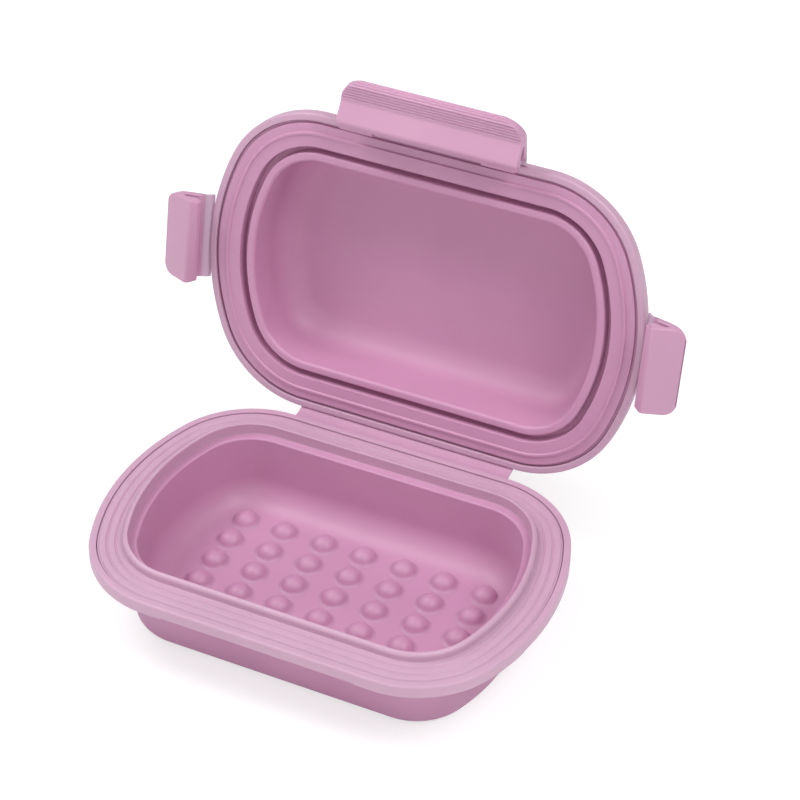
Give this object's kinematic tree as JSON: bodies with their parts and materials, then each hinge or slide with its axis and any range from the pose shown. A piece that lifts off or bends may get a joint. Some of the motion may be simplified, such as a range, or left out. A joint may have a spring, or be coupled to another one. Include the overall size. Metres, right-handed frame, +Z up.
{
  "type": "travel soap box",
  "caption": "Travel soap box: base with draining nubs in its tray, lid on a living hinge, snap latches at the front and both ends, shown open.",
  "frame": {"origin": "centre of the base's flat underside", "axes": "+X towards the right-hand end seen from the front latch side, +Y towards the lid's hinge, +Z up"},
  "size_m": [0.1492, 0.1198, 0.1239],
  "materials": {
    "pink_plastic": "satin",
    "thin_film": "satin"
  },
  "bodies": {
    "base": {"base_rim": "pink_plastic", "base_tray": "pink_plastic", "hinge_web_base": "thin_film"},
    "lid": {"lid_rim": "pink_plastic", "lid_cover": "pink_plastic", "hinge_web_lid": "thin_film", "front_latch_web": "thin_film", "left_latch_web": "thin_film", "right_latch_web": "thin_film"},
    "front_latch": {"front_latch": "pink_plastic"},
    "left_latch": {"left_latch": "pink_plastic"},
    "right_latch": {"right_latch": "pink_plastic"}
  },
  "joints": [
    {"name": "lid_hinge", "type": "hinge", "parent": "base", "child": "lid", "pos_m": [0, 0.0444, 0.0236], "axis": [-1, 0, 0], "range_deg": [-101.4, 78.6]},
    {"name": "front_latch_fold", "type": "hinge", "parent": "lid", "child": "front_latch", "pos_m": [0, 0.06309, 0.11021], "axis": [-1, 0, 0], "range_deg": [-24, 100]},
    {"name": "left_latch_fold", "type": "hinge", "parent": "lid", "child": "left_latch", "pos_m": [-0.064, 0.05435, 0.06689], "axis": [0, -0.1977, -0.9803], "range_deg": [-24, 100]},
    {"name": "right_latch_fold", "type": "hinge", "parent": "lid", "child": "right_latch", "pos_m": [0.064, 0.05435, 0.06689], "axis": [0, 0.1977, 0.9803], "range_deg": [-24, 100]}
  ]
}
